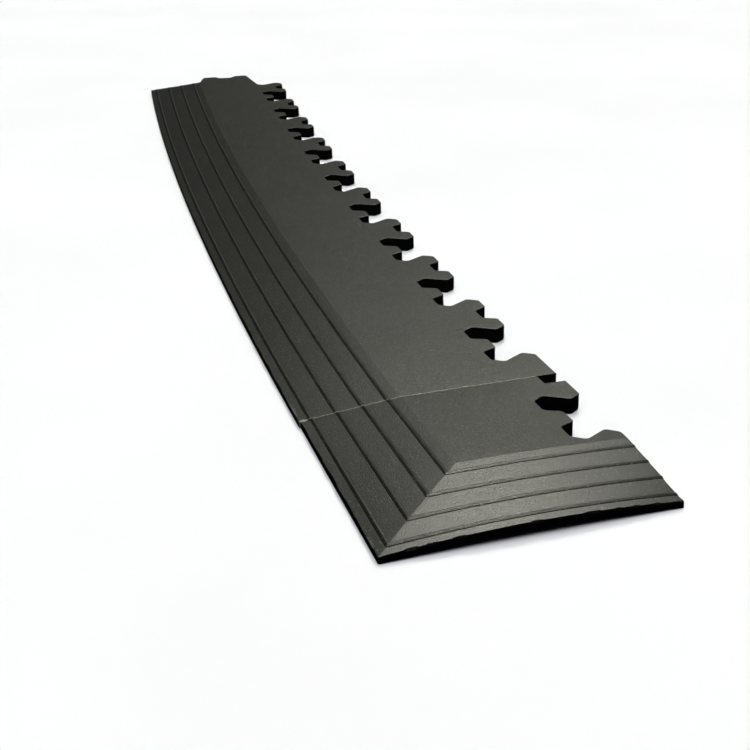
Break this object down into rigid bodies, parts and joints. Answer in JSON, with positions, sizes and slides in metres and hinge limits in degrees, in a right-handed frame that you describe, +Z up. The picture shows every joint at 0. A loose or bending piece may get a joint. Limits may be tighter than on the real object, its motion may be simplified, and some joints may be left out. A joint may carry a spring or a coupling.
{
  "type": "floor edging ramp",
  "caption": "Bevelled rubber edging for a jigsaw-locked floor: a long ribbed ramp strip bonded end to end to a mitred corner ramp.",
  "frame": {"origin": "middle of the bounding box on the underside, where the edging rests on the floor", "axes": "+Y along the strip, away from the mitred corner; +X inward, from the bevelled outer edge to the jigsaw teeth; +Z up"},
  "size_m": [0.2034, 1.1458, 0.0124],
  "materials": {
    "strip_rubber": "matt moulded, fine pebble grain",
    "corner_rubber": "matt moulded, fine pebble grain",
    "adhesive": "satin, cured bead"
  },
  "bodies": {
    "root": {"straight_ramp": "strip_rubber", "corner_ramp": "corner_rubber", "seam_bond": "adhesive"}
  },
  "joints": []
}
